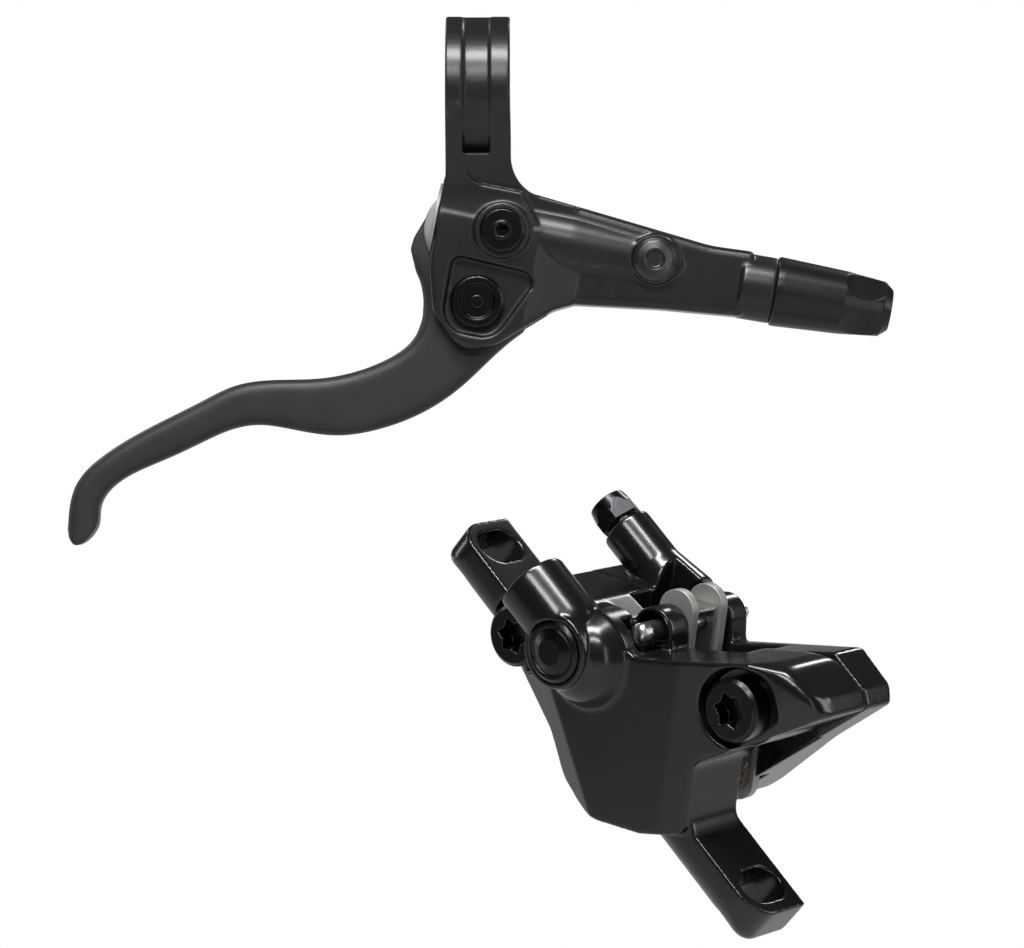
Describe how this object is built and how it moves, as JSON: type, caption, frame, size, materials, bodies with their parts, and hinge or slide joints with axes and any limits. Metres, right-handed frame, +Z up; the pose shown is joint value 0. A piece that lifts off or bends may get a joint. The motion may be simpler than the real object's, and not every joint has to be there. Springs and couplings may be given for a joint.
{
  "type": "hydraulic disc brake",
  "caption": "Hydraulic bicycle disc brake: a handlebar lever with its master cylinder and a post mount caliper with two pistons and pads.",
  "frame": {"origin": "centre of the handlebar clamp, on the bar's axis", "axes": "+X along the bar towards the hose outlet, +Z up in the picture, +Y away from the camera"},
  "size_m": [0.1651, 0.1972, 0.1663],
  "materials": {
    "housing_paint": "satin black paint",
    "caliper_paint": "gloss black paint",
    "blade_paint": "matte black paint",
    "black_steel": "black oxide steel",
    "grey_cap": "moulded grey plastic",
    "bright_steel": "polished stainless steel",
    "plain_steel": "grey steel",
    "piston_aluminium": "machined aluminium",
    "caliper_piston_steel": "ground steel",
    "seal_rubber": "nitrile rubber",
    "cover_plastic": "soft moulded cover",
    "brass_nut": "plain brass",
    "bush_plastic": "plain bearing plastic",
    "pad_plate": "grey phosphated steel",
    "lining": "resin friction lining"
  },
  "bodies": {
    "housing_and_caliper": {"lever_housing": "housing_paint", "clamp_bolt": "black_steel", "end_collar": "grey_cap", "pivot_pin": "black_steel", "pivot_clip": "plain_steel", "bleed_screw": "black_steel", "channel_plug": "housing_paint", "retaining_ring": "plain_steel", "piston_spring": "bright_steel", "hose_nut": "brass_nut", "hose_cover": "cover_plastic", "caliper_outer_half": "caliper_paint", "caliper_inner_half": "caliper_paint", "body_bolts": "black_steel", "passage_plug": "black_steel", "passage_o_ring": "seal_rubber", "bleed_nipple": "black_steel", "piston_seals": "seal_rubber", "pad_spring": "bright_steel", "pad_pin": "bright_steel"},
    "lever": {"lever_blade": "blade_paint", "reach_screw": "black_steel", "pivot_bushes": "bush_plastic"},
    "master_piston_group": {"master_piston": "piston_aluminium", "primary_seal": "seal_rubber", "secondary_seal": "seal_rubber", "push_rod": "plain_steel"},
    "outer_piston_body": {"outer_piston": "caliper_piston_steel"},
    "inner_piston_body": {"inner_piston": "caliper_piston_steel"},
    "outer_pad": {"outer_pad_plate": "pad_plate", "outer_pad_lining": "lining"},
    "inner_pad": {"inner_pad_plate": "pad_plate", "inner_pad_lining": "lining"}
  },
  "joints": [
    {"name": "lever_pivot", "type": "hinge", "parent": "housing_and_caliper", "child": "lever", "pos_m": [-0.00016, 0, -0.0422], "axis": [0, 1, 0], "range_deg": [0, 20], "stiffness_Nm_per_rad": 0.4, "springref_deg": -20.05},
    {"name": "master_piston_slide", "type": "slide", "parent": "housing_and_caliper", "child": "master_piston_group", "axis": [0.9806, 0, -0.1959], "range_m": [0, 0.0052], "deforming": ["piston_spring"]},
    {"name": "outer_piston_slide", "type": "slide", "parent": "housing_and_caliper", "child": "outer_piston_body", "axis": [0.6427, 0.7592, 0.1032], "range_m": [0, 0.0005]},
    {"name": "inner_piston_slide", "type": "slide", "parent": "housing_and_caliper", "child": "inner_piston_body", "axis": [-0.6427, -0.7592, -0.1032], "range_m": [0, 0.0005]},
    {"name": "outer_pad_slide", "type": "slide", "parent": "housing_and_caliper", "child": "outer_pad", "axis": [0.6427, 0.7592, 0.1032], "range_m": [0, 0.0005], "deforming": ["pad_spring"]},
    {"name": "inner_pad_slide", "type": "slide", "parent": "housing_and_caliper", "child": "inner_pad", "axis": [-0.6427, -0.7592, -0.1032], "range_m": [0, 0.0005]}
  ],
  "couplings": [
    {"joint": "master_piston_slide", "follows": "lever_pivot", "m_per_rad": 0.0145},
    {"joint": "outer_piston_slide", "follows": "lever_pivot", "m_per_rad": 0.0014},
    {"joint": "inner_piston_slide", "follows": "lever_pivot", "m_per_rad": 0.0014},
    {"joint": "outer_pad_slide", "follows": "lever_pivot", "m_per_rad": 0.0014},
    {"joint": "inner_pad_slide", "follows": "lever_pivot", "m_per_rad": 0.0014}
  ]
}
